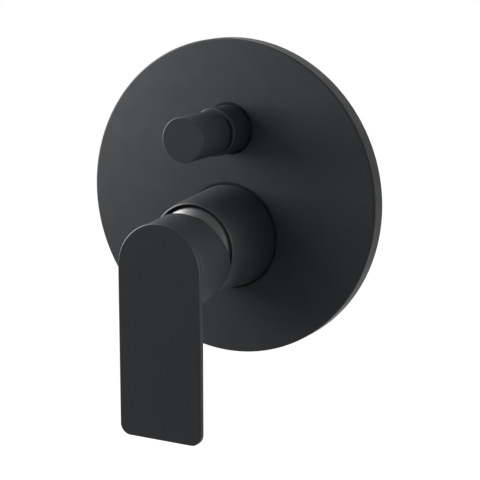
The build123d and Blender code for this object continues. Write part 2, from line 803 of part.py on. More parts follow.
with BuildPart() as spindle_nut:
    with BuildSketch(facing(-nut_deep, diverter_z)):
        Circle(valve_radius - nut_flange_setback)
    extrude(amount=-nut_flange_height)
    with BuildSketch(facing(-nut_deep - nut_flange_height, diverter_z)):
        RegularPolygon(spindle_nut_flats / 2, 6, major_radius=False)
    extrude(amount=-spindle_nut_height)
    with BuildSketch(facing(-nut_deep, diverter_z)):
        Circle(spindle_rear_radius + ring_gap)
    extrude(amount=-nut_flange_height - spindle_nut_height, mode=Mode.SUBTRACT)
spindle_nut.part.label = "spindle_nut"
export_step(spindle_nut.part, "parts/spindle_nut.step")

# Return spring between the bonnet's shoulder and the spindle's flange, as straight lengths of square wire
spring_rear = valve_flange - flange_rear + spring_wire + seat_gap
spring_length = spring_shoulder - spring_wire - seat_gap - spring_rear
spring_turn = radians(360 / spring_steps)
spring_count = spring_turns * spring_steps
with BuildPart() as diverter_spring:
    with BuildLine():
        coil = Polyline(
            [
                (
                    spring_radius * cos(i * spring_turn),
                    -spring_rear - spring_length * i / spring_count,
                    diverter_z + spring_radius * sin(i * spring_turn),
                )
                for i in range(spring_count + 1)
            ]
        )
    with BuildSketch(Plane(origin=coil @ 0, z_dir=coil % 0)):
        Rectangle(2 * spring_wire, 2 * spring_wire)
    sweep(path=coil, transition=Transition.RIGHT)
diverter_spring.part.label = "diverter_spring"
export_step(diverter_spring.part, "parts/diverter_spring.step")

# Valve body: a brass casting. Two barrels, a web between them, four threaded arms and a bar with two
# fixing lugs.
inlet_z = mixer_z - port_drop
mixed_z = mixer_z + port_rise
bath_plane = rear_seat_rear + bath_slot_depth / 2
shower_turn_z = diverter_z + bore_radius + casting_wall + shower_channel_radius
with BuildPart() as valve_body:
    with BuildSketch(beside(mixer_z)):
        Polygon(
            (-mixer_barrel_deep, 0),
            (-mixer_barrel_deep, mixer_barrel_radius),
            (body_front, mixer_barrel_radius),
            (body_front, neck_radius),
            (neck_front, neck_radius),
            (neck_front, 0),
            align=None,
        )
    revolve(axis=mixer_axis)
    with BuildSketch(facing(divert_front, diverter_z)):
        Circle(divert_barrel_radius)
    extrude(amount=-(divert_front + chamber_deep + casting_wall))
    with BuildSketch(facing(-mixed_plane + mixed_channel_radius + casting_wall, (mixer_z + diverter_z) / 2)):
        Rectangle(web_width, axis_spacing)
    extrude(amount=-(body_rear - mixed_plane + mixed_channel_radius + casting_wall))
    with BuildSketch(Plane.XY.offset(diverter_z)):
        with Locations((0, (shower_plane + port_plane) / 2)):
            SlotCenterToCenter(
                port_plane - shower_plane,
                2 * (shower_channel_radius + casting_wall),
                rotation=90,
            )
    extrude(amount=shower_turn_z + shower_channel_radius + casting_wall - diverter_z)
    with BuildSketch(Plane.YZ.offset(-inlet_reach)):
        with Locations((port_plane, inlet_z)):
            Circle(arm_radius)
    extrude(amount=2 * inlet_reach)
    with BuildSketch(Plane.XY.offset(-bath_reach)):
        with Locations((0, port_plane)):
            Circle(arm_radius)
    extrude(amount=bath_reach + shower_reach)
    for side in (-1, 1):
        with BuildSketch(Plane.YZ.offset(side * inlet_reach)):
            with Locations((port_plane, inlet_z)):
                RegularPolygon(arm_hex_flats / 2, 6, major_radius=False, rotation=30)
        extrude(amount=-side * arm_hex_length)
    for mouth, direction in ((shower_reach, -1), (-bath_reach, 1)):
        with BuildSketch(Plane.XY.offset(mouth)):
            with Locations((0, port_plane)):
                RegularPolygon(arm_hex_flats / 2, 6, major_radius=False)
        extrude(amount=direction * arm_hex_length)
    with BuildSketch(facing(-body_rear, lug_rise)):
        SlotCenterToCenter(lug_spacing, lug_width)
    extrude(amount=lug_thickness)

    # Cartridge chamber, nut thread and the groove for the sleeve's O-ring
    with BuildSketch(beside(mixer_z)):
        Polygon(
            (0, 0),
            (0, chamber_radius),
            (shoulder_forward, chamber_radius),
            (shoulder_forward, nut_thread_radius + slip),
            (neck_front, nut_thread_radius + slip),
            (neck_front, 0),
            align=None,
        )
        with Locations((sleeve_ring_forward, sleeve_ring_radius)):
            Rectangle(2 * (ring_wire + groove_spare), 2 * ring_wire + groove_spare)
    revolve(axis=mixer_axis, mode=Mode.SUBTRACT)

    # Diverter chamber and the bonnet's thread
    with BuildSketch(beside(diverter_z)):
        Polygon(
            (-chamber_deep, 0),
            (-chamber_deep, bore_radius),
            (-bonnet_deep, bore_radius),
            (-bonnet_deep, bonnet_thread_radius + running),
            (divert_front, bonnet_thread_radius + running),
            (divert_front, 0),
            align=None,
        )
    revolve(axis=diverter_axis, mode=Mode.SUBTRACT)

    # Inlet channels: in from each side, then forward to the cartridge's ports
    for side in (-1, 1):
        with BuildSketch(Plane.YZ.offset(side * inlet_reach)):
            with Locations((port_plane, inlet_z)):
                Circle(inlet_channel_radius)
        extrude(amount=-side * (inlet_reach - inlet_channel_end), mode=Mode.SUBTRACT)
        with BuildSketch(Plane.YZ.offset(side * inlet_reach)):
            with Locations((port_plane, inlet_z)):
                Circle(thread_radius)
        extrude(amount=-side * thread_length, mode=Mode.SUBTRACT)
    with BuildSketch(facing(0, mixer_z)):
        with Locations(*port_places[:2]):
            Circle(port_radius)
    extrude(amount=-port_plane, mode=Mode.SUBTRACT)

    # Mixed channel: back from the cartridge, then up to the middle of the diverter chamber
    with BuildSketch(facing(0, mixed_z)):
        Circle(port_radius)
    extrude(amount=-mixed_plane, mode=Mode.SUBTRACT)
    with BuildSketch(Plane.XY.offset(mixed_z - port_radius - drill_point)):
        with Locations((0, mixed_plane)):
            Circle(mixed_channel_radius)
    extrude(amount=diverter_z - mixed_z, mode=Mode.SUBTRACT)

    # Bath channel: a flat channel down between the two inlets
    with BuildSketch(Plane.XY.offset(diverter_z)):
        with Locations((0, bath_plane)):
            SlotOverall(bath_slot_depth, bath_slot_width, rotation=90)
    extrude(amount=-(diverter_z + bath_reach), mode=Mode.SUBTRACT)
    with BuildSketch(Plane.XY.offset(-bath_reach)):
        with Locations((0, port_plane)):
            Circle(thread_radius)
    extrude(amount=thread_length, mode=Mode.SUBTRACT)

    # Shower channel: up from the front of the diverter chamber, then back into the upper port
    with BuildSketch(Plane.XY.offset(diverter_z)):
        with Locations((0, shower_plane)):
            Circle(shower_channel_radius)
    extrude(amount=shower_turn_z + shower_channel_radius + drill_point - diverter_z, mode=Mode.SUBTRACT)
    with BuildSketch(facing(-shower_plane, shower_turn_z)):
        Circle(shower_channel_radius - slip)
    extrude(amount=-(port_plane - shower_plane), mode=Mode.SUBTRACT)
    with BuildSketch(Plane.XY.offset(shower_reach)):
        with Locations((0, port_plane)):
            Circle(thread_radius)
    extrude(amount=-thread_length, mode=Mode.SUBTRACT)

    # Holes in the two lugs
    with BuildSketch(facing(-body_rear, lug_rise)):
        with GridLocations(lug_spacing, 0, 2, 1):
            Circle(lug_hole_radius)
    extrude(amount=lug_thickness, mode=Mode.SUBTRACT)
valve_body.part.label = "valve_body"
export_step(valve_body.part, "parts/valve_body.step")
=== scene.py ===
import json

import bmesh
import bpy
import numpy as np
from mathutils import Matrix, Vector


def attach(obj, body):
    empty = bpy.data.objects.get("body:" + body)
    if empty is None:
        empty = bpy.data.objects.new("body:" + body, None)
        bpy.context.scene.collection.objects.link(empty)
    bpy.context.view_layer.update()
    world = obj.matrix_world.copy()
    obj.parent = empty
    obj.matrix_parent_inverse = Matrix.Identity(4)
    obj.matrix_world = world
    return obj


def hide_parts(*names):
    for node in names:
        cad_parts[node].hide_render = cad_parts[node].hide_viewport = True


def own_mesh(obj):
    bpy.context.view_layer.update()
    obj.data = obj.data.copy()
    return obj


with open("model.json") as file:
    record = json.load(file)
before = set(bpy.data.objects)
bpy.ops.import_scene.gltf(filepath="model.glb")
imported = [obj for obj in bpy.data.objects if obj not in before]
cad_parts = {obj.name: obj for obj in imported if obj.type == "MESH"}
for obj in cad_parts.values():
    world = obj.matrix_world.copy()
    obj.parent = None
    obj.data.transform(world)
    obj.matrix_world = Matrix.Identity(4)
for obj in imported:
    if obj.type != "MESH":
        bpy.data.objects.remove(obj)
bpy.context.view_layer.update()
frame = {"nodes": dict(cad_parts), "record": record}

# Lengths below are in millimetres until a mesh is written. "Forward" is the distance in front of the wall
# face, and heights are measured from the plate's centre.
MM = 0.001
PLATE_RADIUS, PLATE_DEPTH, PLATE_WALL = 80.0, 9.0, 2.0
MIXER_Z, DIVERTER_Z = -19.3, 35.2
SLEEVE_BASE, SLEEVE_BORE, SLEEVE_FRONT = 26.0, 21.75, 46.5
COLLAR, COLLAR_BORE, COLLAR_MOUTH = 12.0, 10.45, 8.8
KNOB, KNOB_NECK, KNOB_FRONT = 11.0, 8.5, 55.2
# The stem droops from the pin that it tilts on, and the lever droops with it
PIVOT_FORWARD, DROOP, LIFT, LIFT_GAP = 27.0, np.radians(5.0), np.radians(22.0), 0.8
BARREL, BARREL_INSIDE, LEVER_REAR = 22.2, 19.2, 47.0
PADDLE_FRONT, PADDLE_BACK, PADDLE_HALF, PADDLE_CORNER, PADDLE_FOOT = 78.5, 75.0, 22.4, 5.5, -107.3
PADDLE_Z = MIXER_Z - (PADDLE_BACK - PIVOT_FORWARD) * np.tan(DROOP)


# Finishes


def finish_of(name, colour, roughness, metallic=0.0):
    """A new material with its shader, and the node tree to add a pattern to."""
    material = bpy.data.materials.new(name)
    material.use_nodes = True
    shader = material.node_tree.nodes["Principled BSDF"]
    shader.inputs["Base Color"].default_value = (*colour, 1)
    shader.inputs["Roughness"].default_value = roughness
    shader.inputs["Metallic"].default_value = metallic
    return material, material.node_tree, shader


def noise(tree, scale, detail, stretch=(1, 1, 1)):
    """A noise pattern on the piece's own coordinates, scale in features per metre."""
    place = tree.nodes.new("ShaderNodeTexCoord")
    turn = tree.nodes.new("ShaderNodeMapping")
    turn.inputs["Scale"].default_value = stretch
    pattern = tree.nodes.new("ShaderNodeTexNoise")
    pattern.inputs["Scale"].default_value = scale
    pattern.inputs["Detail"].default_value = detail
    tree.links.new(place.outputs["Object"], turn.inputs["Vector"])
    tree.links.new(turn.outputs["Vector"], pattern.inputs["Vector"])
    return pattern.outputs["Fac"]


def between(tree, factor, low, high):
    """The pattern's value, stretched to run from low to high. Noise mostly lies from 0.3 to 0.7."""
    noise_low, noise_high = 0.3, 0.7
    spread = tree.nodes.new("ShaderNodeMapRange")
    spread.inputs["From Min"].default_value = noise_low
    spread.inputs["From Max"].default_value = noise_high
    spread.inputs["To Min"].default_value = low
    spread.inputs["To Max"].default_value = high
    tree.links.new(factor, spread.inputs["Value"])
    return spread.outputs["Result"]


def tint(tree, factor, dark, light):
    """A colour between dark and light by the pattern."""
    mix = tree.nodes.new("ShaderNodeMix")
    mix.data_type = "RGBA"
    mix.inputs["A"].default_value = (*dark, 1)
    mix.inputs["B"].default_value = (*light, 1)
    tree.links.new(factor, mix.inputs["Factor"])
    return mix.outputs["Result"]


def grain(tree, shader, height, depth_mm):
    """Raises the surface by the pattern, depth_mm from its lowest to its highest."""
    bump = tree.nodes.new("ShaderNodeBump")
    bump.inputs["Strength"].default_value = 1.0
    bump.inputs["Distance"].default_value = depth_mm * MM
    tree.links.new(height, bump.inputs["Height"])
    tree.links.new(bump.outputs["Normal"], shader.inputs["Normal"])


def coated(name, dark, light, rough, grain_mm, grain_scale, metallic=0.0, stretch=(1, 1, 1), specular=0.5):
    """A finish whose colour and roughness drift a little over the piece, with a fine grain. rough is the
    lowest and the highest roughness, and stretch draws roughness and grain out, as turning marks are."""
    colour_scale, roughness_scale = 45, 110
    material, tree, shader = finish_of(name, light, rough[1], metallic)
    shader.inputs["Specular IOR Level"].default_value = specular
    cloud = between(tree, noise(tree, colour_scale, 2.0), 0, 1)
    tree.links.new(tint(tree, cloud, dark, light), shader.inputs["Base Color"])
    wear = noise(tree, roughness_scale, 3.0, stretch)
    tree.links.new(between(tree, wear, *rough), shader.inputs["Roughness"])
    grain(tree, shader, noise(tree, grain_scale, 2.0, stretch), grain_mm)
    return material


matt_black = coated(
    "matt_black_powder_coat", (0.0165, 0.018, 0.0195), (0.0195, 0.021, 0.0225), (0.44, 0.52), 0.01, 2600,
    specular=0.2,
)
black_plastic = coated("black_plastic", (0.016, 0.017, 0.018), (0.02, 0.021, 0.022), (0.42, 0.5), 0.01, 2000)
black_rubber = coated(
    "black_rubber", (0.008, 0.008, 0.009), (0.013, 0.013, 0.014), (0.6, 0.75), 0.015, 1500, specular=0.04
)
black_foam = coated("black_foam", (0.012, 0.012, 0.013), (0.03, 0.03, 0.031), (0.85, 0.95), 0.25, 900)
cast_brass = coated("cast_brass", (0.52, 0.36, 0.15), (0.66, 0.48, 0.22), (0.36, 0.55), 0.12, 420, 1.0)
turned_brass = coated(
    "turned_brass", (0.68, 0.49, 0.21), (0.76, 0.57, 0.27), (0.18, 0.3), 0.01, 900, 1.0, (1, 12, 1)
)
grey_plastic = coated("grey_plastic", (0.34, 0.36, 0.38), (0.4, 0.42, 0.44), (0.38, 0.48), 0.01, 1500)
white_plastic = coated("white_plastic", (0.72, 0.72, 0.69), (0.79, 0.79, 0.76), (0.35, 0.45), 0.008, 1500)
white_ceramic = coated("white_ceramic", (0.83, 0.82, 0.79), (0.88, 0.87, 0.84), (0.12, 0.2), 0.002, 3000)
steel = coated(
    "stainless_steel", (0.52, 0.52, 0.53), (0.6, 0.6, 0.61), (0.22, 0.34), 0.006, 1600, 1.0, (1, 8, 1)
)

SLOTS = {part["node"]: part["material_slot"] for part in frame["record"]["subparts"]}
FINISHES = {
    "matt_black": matt_black,
    "black_plastic": black_plastic,
    "black_rubber": black_rubber,
    "black_foam": black_foam,
    "cast_brass": cast_brass,
    "grey_plastic": grey_plastic,
    "white_plastic": white_plastic,
    "white_ceramic": white_ceramic,
    "steel": steel,
}
TURNED = {"cartridge_nut", "diverter_bonnet", "cartridge_stem", "spindle_nut"}
replaced = set()


# Shapes


def solid(name, points, faces, material, flat_from=None, sharp=40):
    """One closed mesh. points is an array in millimetres, faces a list of index tuples. Faces are turned
    outward by the sign of the enclosed volume, a sum of corner products. Faces from number flat_from on are
    shaded flat, and edges that turn by more than sharp degrees are creases."""
    points = np.asarray(points, dtype=float) * MM
    volume = 0.0
    for size in {len(face) for face in faces}:
        corners = points[np.array([face for face in faces if len(face) == size])]
        for step in range(1, size - 1):
            volume += np.einsum("ij,ij->", corners[:, 0], np.cross(corners[:, step], corners[:, step + 1]))
    if volume < 0:
        faces = [tuple(face[::-1]) for face in faces]
    mesh = bpy.data.meshes.new(name)
    mesh.from_pydata([tuple(p) for p in points], [], [tuple(int(i) for i in face) for face in faces])
    smooth = np.ones(len(faces), dtype=bool)
    if flat_from is not None:
        smooth[flat_from:] = False
    mesh.polygons.foreach_set("use_smooth", smooth)
    mesh.set_sharp_from_angle(angle=np.radians(sharp))
    mesh.materials.append(material)
    piece = bpy.data.objects.new(name, mesh)
    bpy.context.scene.collection.objects.link(piece)
    return piece


def consistent(name, points, faces, material, flat_from=None):
    """A closed mesh from faces in any order of turning: Blender's recalculation turns them all outward."""
    piece = solid(name, points, faces, material, flat_from)
    shell = bmesh.new()
    shell.from_mesh(piece.data)
    bmesh.ops.recalc_face_normals(shell, faces=shell.faces)
    shell.to_mesh(piece.data)
    shell.free()
    return piece


def softened(corners, radii, steps=6, closed=True):
    """A profile with its corners rounded. Each corner becomes a quadratic curve from one side to the other,
    (1 - t)^2 before + 2 t (1 - t) corner + t^2 after, that takes at most 0.45 of a side. One more point lies
    just beyond each end, so that the flats stay flat."""
    side_share, beyond = 0.45, 1.08
    corners = np.asarray(corners, dtype=float)
    radii = np.broadcast_to(radii, len(corners))
    t = np.linspace(0, 1, steps)[:, None]
    out = []
    for i, here in enumerate(corners):
        if radii[i] <= 0 or (not closed and i in (0, len(corners) - 1)):
            out.append(here[None])
            continue
        before = corners[i - 1] - here
        after = corners[(i + 1) % len(corners)] - here
        reach = min(radii[i], side_share * np.linalg.norm(before), side_share * np.linalg.norm(after))
        before = before / np.linalg.norm(before)
        after = after / np.linalg.norm(after)
        arc = (1 - t) ** 2 * (here + reach * before) + 2 * t * (1 - t) * here + t**2 * (here + reach * after)
        out.append(np.vstack([here + beyond * reach * before, arc, here + beyond * reach * after]))
    return np.vstack(out)


def grid_faces(rows, columns, wrap_rows=False):
    """Quads between neighbouring rows of a grid whose columns close on themselves, and whose rows do if
    asked. Each joins a point, the next one along, the one above that, and the one above the point."""
    row = np.arange(rows if wrap_rows else rows - 1)[:, None]
    column = np.arange(columns)[None]
    up, along = (row + 1) % rows, (column + 1) % columns
    corners = [row * columns + column, row * columns + along, up * columns + along, up * columns + column]
    return [tuple(quad) for quad in np.stack(corners, -1).reshape(-1, 4)]


def closing_fans(rows, columns):
    """Triangles that close a grid's first and last row, each on one of the two points after the grid."""
    first, last, top = rows * columns, rows * columns + 1, (rows - 1) * columns
    around = np.arange(columns)
    following = (around + 1) % columns
    faces = [(first, b, a) for a, b in zip(around, following)]
    return faces + [(last, top + a, top + b) for a, b in zip(around, following)]


def carried_round(profile, height, turns):
    """A profile of (forward, r) carried round a valve's axis:
    x = r cos a, y = -forward, z = height + r sin a."""
    angle = np.linspace(0, 2 * np.pi, turns, endpoint=False)
    x = np.outer(profile[:, 1], np.cos(angle))
    z = np.outer(profile[:, 1], np.sin(angle)) + height
    y = np.repeat(-profile[:, :1], turns, axis=1)
    return np.stack([x, y, z], axis=-1).reshape(-1, 3)


def turned(profile, height, turns):
    """Points and faces of a profile carried round a valve's axis. A profile that starts and ends on the axis
    gets a point there; any other is taken as a closed loop."""
    profile = np.asarray(profile, dtype=float)
    on_axis = profile[0, 1] < 1e-9
    rows = profile[1:-1] if on_axis else profile
    points = carried_round(rows, height, turns)
    faces = grid_faces(len(rows), turns, wrap_rows=not on_axis)
    if on_axis:
        points = np.vstack([points, [[0, -profile[0, 0], height], [0, -profile[-1, 0], height]]])
        faces += closing_fans(len(rows), turns)
    return points, faces


def stand_for(piece, node, body):
    """The piece takes a CAD node's place and rides on its body: the node is hidden and counted as replaced.
    """
    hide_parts(node)
    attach(piece, body)
    replaced.add(node)


def turned_piece(name, node, body, material, height, profile, radii, turns):
    """A turned solid that stands for a CAD node and rides on its body. profile is its corners, each (forward,
    radius), and radii rounds them."""
    points, faces = turned(softened(profile, radii, closed=profile[0][1] > 0), height, turns)
    stand_for(solid(name, points, faces, material), node, body)


# Cover plate

# The plate's face is flat between its rim and its two holes. The rim, the back lip and the holes' walls are
# turned profiles, each with a narrow strip of the flats, and the flats between them are two polygons each,
# which meet on the upright through both holes.
HOLE_GAP, RIM_STRIP, LIP_STRIP, HOLE_STRIP = 1.05, 2.0, 1.0, 0.6


def halves(rim, sleeve, collar):
    """Two polygons that fill the area inside the rim and outside both holes. Each argument is a circle's
    first index and its number of points, which start at the right and go round by way of the top."""

    def right_side(first, count):
        return first + np.arange(-count // 4, count // 4 + 1) % count

    def left_side(first, count):
        return first + np.arange(count // 4, 3 * count // 4 + 1)

    right = [right_side(*rim), right_side(*collar)[::-1], right_side(*sleeve)[::-1]]
    left = [left_side(*rim), left_side(*sleeve)[::-1], left_side(*collar)[::-1]]
    return [tuple(np.concatenate(right)), tuple(np.concatenate(left))]


def cover_plate():
    """The dished plate: its rim carried round its own axis, the walls of its two holes round the valves'
    axes, and flats between them at the front and at the inside."""
    inside, lip = PLATE_DEPTH - PLATE_WALL, PLATE_RADIUS - PLATE_WALL
    rim = [
        (PLATE_DEPTH, PLATE_RADIUS - RIM_STRIP), (PLATE_DEPTH, PLATE_RADIUS), (0, PLATE_RADIUS),
        (0, lip), (inside, lip), (inside, lip - LIP_STRIP),
    ]
    profiles = [(softened(rim, [0, 0.9, 0.2, 0.2, 0.3, 0], steps=8, closed=False), 0.0, 360)]
    holes = ((SLEEVE_BASE + HOLE_GAP, MIXER_Z, 180), (COLLAR + HOLE_GAP, DIVERTER_Z, 120))
    for radius, height, turns in holes:
        strip = radius + HOLE_STRIP
        wall = [(PLATE_DEPTH, strip), (PLATE_DEPTH, radius), (inside, radius), (inside, strip)]
        profiles.append((softened(wall, [0, 0.25, 0.1, 0], closed=False), height, turns))
    points, faces, front, back, total = [], [], [], [], 0
    for profile, height, turns in profiles:
        points.append(carried_round(profile, height, turns))
        faces += [tuple(quad) for quad in np.array(grid_faces(len(profile), turns)) + total]
        front.append((total, turns))
        back.append((total + (len(profile) - 1) * turns, turns))
        total += len(profile) * turns
    flat_from = len(faces)
    faces += halves(*front) + halves(*back)
    return consistent("cover_plate_skin", np.vstack(points), faces, matt_black, flat_from)


stand_for(cover_plate(), "cover_plate", "fixed")

# Sleeve, collar, knob and grommets

turned_piece(
    "sleeve_skin", "mixer_sleeve", "fixed", matt_black, MIXER_Z,
    [(3, SLEEVE_BORE), (3, SLEEVE_BASE), (10, SLEEVE_BASE), (41, 23.7), (46, 22.8), (SLEEVE_FRONT, 22.3),
     (SLEEVE_FRONT, SLEEVE_BORE)],
    [0.2, 0.2, 1.5, 3, 0.3, 0.3, 0.1], 192,
)
turned_piece(
    "collar_skin", "diverter_collar", "fixed", matt_black, DIVERTER_Z,
    [(6.5, COLLAR_BORE), (6.5, COLLAR), (25.5, COLLAR), (25.5, COLLAR_MOUTH), (23.5, COLLAR_MOUTH),
     (23.5, COLLAR_BORE)],
    [0.1, 0.1, 0.7, 0.3, 0.1, 0.1], 128,
)
turned_piece(
    "knob_skin", "diverter_knob", "knob_body", matt_black, DIVERTER_Z,
    [(37.8, 0), (37.8, 2.5), (17.8, 2.5), (17.8, KNOB_NECK), (27.2, KNOB_NECK), (27.2, KNOB),
     (KNOB_FRONT, KNOB), (KNOB_FRONT, 0)],
    [0, 0.05, 0.2, 0.4, 0.15, 1.8, 0.55, 0], 128,
)
# The grommets touch the sleeve and the collar, so that no light comes through between them
turned_piece(
    "sleeve_grommet_skin", "sleeve_grommet", "fixed", black_rubber, MIXER_Z,
    [(5.7, SLEEVE_BASE - 0.01), (5.7, 29.45), (7, 29.45), (7, SLEEVE_BASE + 1.03), (9.3, SLEEVE_BASE + 1.03),
     (9.3, SLEEVE_BASE - 0.01)],
    [0.1, 0.3, 0.1, 0.1, 0.25, 0.15], 180,
)
turned_piece(
    "collar_grommet_skin", "collar_grommet", "fixed", black_rubber, DIVERTER_Z,
    [(7, COLLAR - 0.01), (7, COLLAR + 1.03), (9.3, COLLAR + 1.03), (9.3, COLLAR - 0.01)],
    [0.1, 0.1, 0.25, 0.15], 120,
)

# The dome ring lies between two spheres about the stem pin, so that the lever keeps its distance as it lifts
DOME_REAR, DOME_OUTSIDE, DOME_BORE, DOME_MOUTH = 33.0, 21.6, 20.3, 17.0
DOME_SPHERE, DOME_HOLLOW = 27.8, 26.5


def about_pivot(sphere, radius):
    """A sphere about the stem pin, at radii from the mixer's axis:
    forward = pivot + sqrt(sphere^2 - radius^2)."""
    return PIVOT_FORWARD + np.sqrt(sphere**2 - radius**2)


crown = np.linspace(DOME_OUTSIDE, DOME_MOUTH, 14)
hollow = np.linspace(DOME_MOUTH, DOME_BORE, 12)
dome = [(DOME_REAR, DOME_BORE), (DOME_REAR, DOME_OUTSIDE)]
dome += [*zip(about_pivot(DOME_SPHERE, crown), crown), *zip(about_pivot(DOME_HOLLOW, hollow), hollow)]
turned_piece("dome_ring_skin", "dome_ring", "fixed", black_plastic, MIXER_Z, dome, 0.0, 160)

# Lever


def stem_point(across, rise, distance):
    """A point given by its place across and above the drooping stem, and its distance along it from the stem
    pin: forward = pivot + distance cos(droop) + rise sin(droop), and
    height = mixer's axis - distance sin(droop) + rise cos(droop)."""
    forward = PIVOT_FORWARD + distance * np.cos(DROOP) + rise * np.sin(DROOP)
    height = MIXER_Z - distance * np.sin(DROOP) + rise * np.cos(DROOP)
    return np.stack(np.broadcast_arrays(across, -forward, height), -1)


def barrel_loop(radius, forward, angle):
    """The barrel's section: a circle about the drooping stem whose lower half falls further toward the
    paddle, by 0.5 mm at the rear and 4 mm at the paddle. forward is one distance, or one for each angle:
    height = mixer's axis - (forward - pivot) tan(droop) + radius sin(angle) - the lower half's fall."""
    rear_drop, growth = 0.5, 3.5
    drawn_out = rear_drop + growth * (forward - LEVER_REAR) / (PADDLE_BACK - LEVER_REAR)
    height = MIXER_Z - (forward - PIVOT_FORWARD) * np.tan(DROOP) + radius * np.sin(angle)
    height = height - drawn_out * (np.sin(angle) < -1e-9)
    return np.stack(np.broadcast_arrays(radius * np.cos(angle), -forward, height), -1)


def rear_cut(radius, angle):
    """How far forward the barrel starts: the further forward of a plane square to the wall's normal and one
    that leans by the angle of the lift. They are blended as rear + (gap + sqrt(gap^2 + 0.6)) / 2, where gap
    is how far the leaning one lies ahead. Heights follow the barrel's droop where it meets the leaning plane:
    forward = start + (height above the mixer's axis) tan(lift)."""
    blend = 0.6
    leaning_start = PIVOT_FORWARD + (SLEEVE_FRONT + LIFT_GAP - PIVOT_FORWARD) / np.cos(LIFT)
    slope = np.tan(LIFT)
    rise = radius * np.sin(angle) - (leaning_start - PIVOT_FORWARD) * np.tan(DROOP)
    leaning = leaning_start + rise * slope / (1 + slope * np.tan(DROOP))
    gap = leaning - LEVER_REAR
    return LEVER_REAR + 0.5 * (gap + np.sqrt(gap**2 + blend))


def paddle_outline(inset, angle):
    """The paddle's outline on a plane square to the wall's normal: a half circle above, straight sides and
    two round corners below. Each point lies where the ray from the half circle's centre at that angle meets
    it: reach = half above, half / |cos| on a side, depth / -sin on the foot, and on a corner
    along + sqrt(along^2 - (c^2 - corner^2)), with c the distance to its centre and along c's part on the
    ray."""
    least_corner = 0.8
    half, corner = PADDLE_HALF - inset, max(PADDLE_CORNER - inset, least_corner)
    top, bottom = PADDLE_Z, PADDLE_FOOT + inset
    x, z = np.cos(angle), np.sin(angle)
    reach = np.full_like(angle, half)
    low = z < 0
    side = half / np.maximum(np.abs(x), 1e-9)
    foot = (top - bottom) / np.maximum(-z, 1e-9)
    reach = np.where(low, np.minimum(side, foot), reach)
    cx, cz = half - corner, bottom + corner - top
    along = np.abs(x) * cx + z * cz
    inside = along**2 - (cx**2 + cz**2 - corner**2)
    rounded = along + np.sqrt(np.maximum(inside, 0))
    in_corner = low & (np.abs(x) * rounded > cx) & (z * rounded < cz) & (inside > 0)
    reach = np.where(in_corner, rounded, reach)
    return reach * x, top + reach * z


def lever_angles(count):
    """Angles for the lever's columns: even steps of angle above, and below the angles of even steps along the
    paddle's side and foot, with closer ones where a corner is near. The left side mirrors the right."""
    near = 7.0
    half, height = PADDLE_HALF, PADDLE_Z - PADDLE_FOOT
    top = np.linspace(0, np.pi, count // 2, endpoint=False)
    side = np.arctan2(-np.linspace(0, height - near, count // 8, endpoint=False), half)
    corner_start, corner_end = np.arctan2(-(height - near), half), np.arctan2(-height, half - near)
    corner = np.linspace(corner_start, corner_end, count // 12, endpoint=False)
    foot = np.arctan2(-height, np.linspace(half - near, 0, count // 16, endpoint=False))
    right = np.concatenate([side, corner, foot])
    left = -np.pi - right[::-1]
    left = left[left < -np.pi / 2 - 1e-9]
    lower = np.unique(np.round(np.concatenate([left, [-np.pi / 2], right]), 7))
    lower = lower[(lower > -np.pi + 1e-6) & (lower < -1e-6)]
    return np.concatenate([top, [np.pi], lower + 2 * np.pi])


def square_loop(half, distance, angle):
    """A square round the stem, at a distance along it, at the angles where rays from its middle meet it:
    reach = half / max(|cos|, |sin|)."""
    reach = half / np.maximum(np.abs(np.cos(angle)), np.abs(np.sin(angle)))
    return stem_point(reach * np.cos(angle), reach * np.sin(angle), distance)


